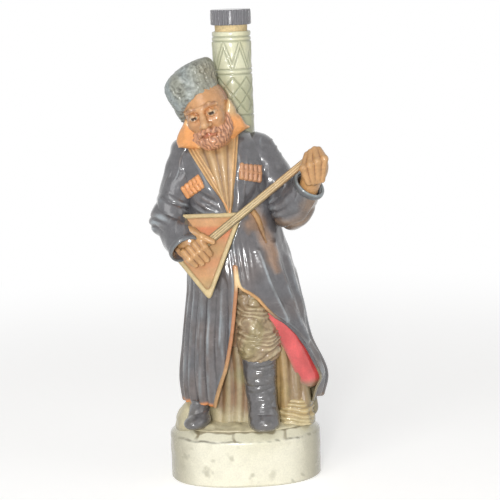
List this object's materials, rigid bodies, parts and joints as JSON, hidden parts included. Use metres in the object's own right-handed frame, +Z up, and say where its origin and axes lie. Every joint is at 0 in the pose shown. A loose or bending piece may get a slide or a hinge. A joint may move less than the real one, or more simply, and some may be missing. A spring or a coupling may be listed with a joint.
{
  "type": "figural liquor decanter",
  "caption": "Glazed ceramic decanter shaped as a standing musician in a long coat, with a carved column neck behind the head and a ribbed cork stopper",
  "frame": {"origin": "centre of the plinth's underside, on the plane it rests on", "axes": "+Z up along the neck column, the figure looks along -Y, +X to the figure's left"},
  "size_m": [0.1335, 0.0866, 0.3498],
  "materials": {
    "white_glaze": "gloss, worn and dusty",
    "olive_glaze": "gloss, mottled",
    "coat_glaze": "gloss, dark grey-black",
    "lining_glaze": "gloss red",
    "tan_glaze": "gloss orange-tan",
    "column_glaze": "gloss grey-green with carved lines",
    "skin_glaze": "satin flesh glaze",
    "hair_glaze": "satin reddish brown",
    "fur_glaze": "gloss blue-grey",
    "boot_glaze": "gloss black",
    "trouser_glaze": "gloss olive brown",
    "black_plastic": "ribbed, matte",
    "cork": "natural cork"
  },
  "bodies": {
    "decanter": {"plinth": "white_glaze", "ground": "olive_glaze", "trunk": "olive_glaze", "column": "column_glaze", "coat_torso": "coat_glaze", "coat_skirt_right": "coat_glaze", "coat_skirt_left": "coat_glaze", "coat_lining": "lining_glaze", "coat_front_trim": "tan_glaze", "shirt_front": "tan_glaze", "lapel_right": "tan_glaze", "lapel_left": "tan_glaze", "cartridge_pocket_right": "tan_glaze", "cartridge_pocket_left": "tan_glaze", "collar_wing_right": "tan_glaze", "collar_wing_left": "tan_glaze", "sleeve_right": "coat_glaze", "sleeve_left": "coat_glaze", "cuff_right": "coat_glaze", "cuff_left": "coat_glaze", "hand_right": "skin_glaze", "hand_left": "skin_glaze", "head": "skin_glaze", "beard": "hair_glaze", "fur_hat": "fur_glaze", "balalaika_body": "tan_glaze", "balalaika_soundboard": "tan_glaze", "balalaika_neck": "tan_glaze", "trouser_leg": "trouser_glaze", "boot_left": "boot_glaze", "boot_right": "boot_glaze", "rock": "olive_glaze"},
    "stopper": {"stopper_cork": "cork", "stopper_head": "black_plastic"}
  },
  "joints": [
    {"name": "stopper_pull", "type": "slide", "parent": "decanter", "child": "stopper", "axis": [0, 0, 1], "range_m": [0, 0.06]}
  ]
}
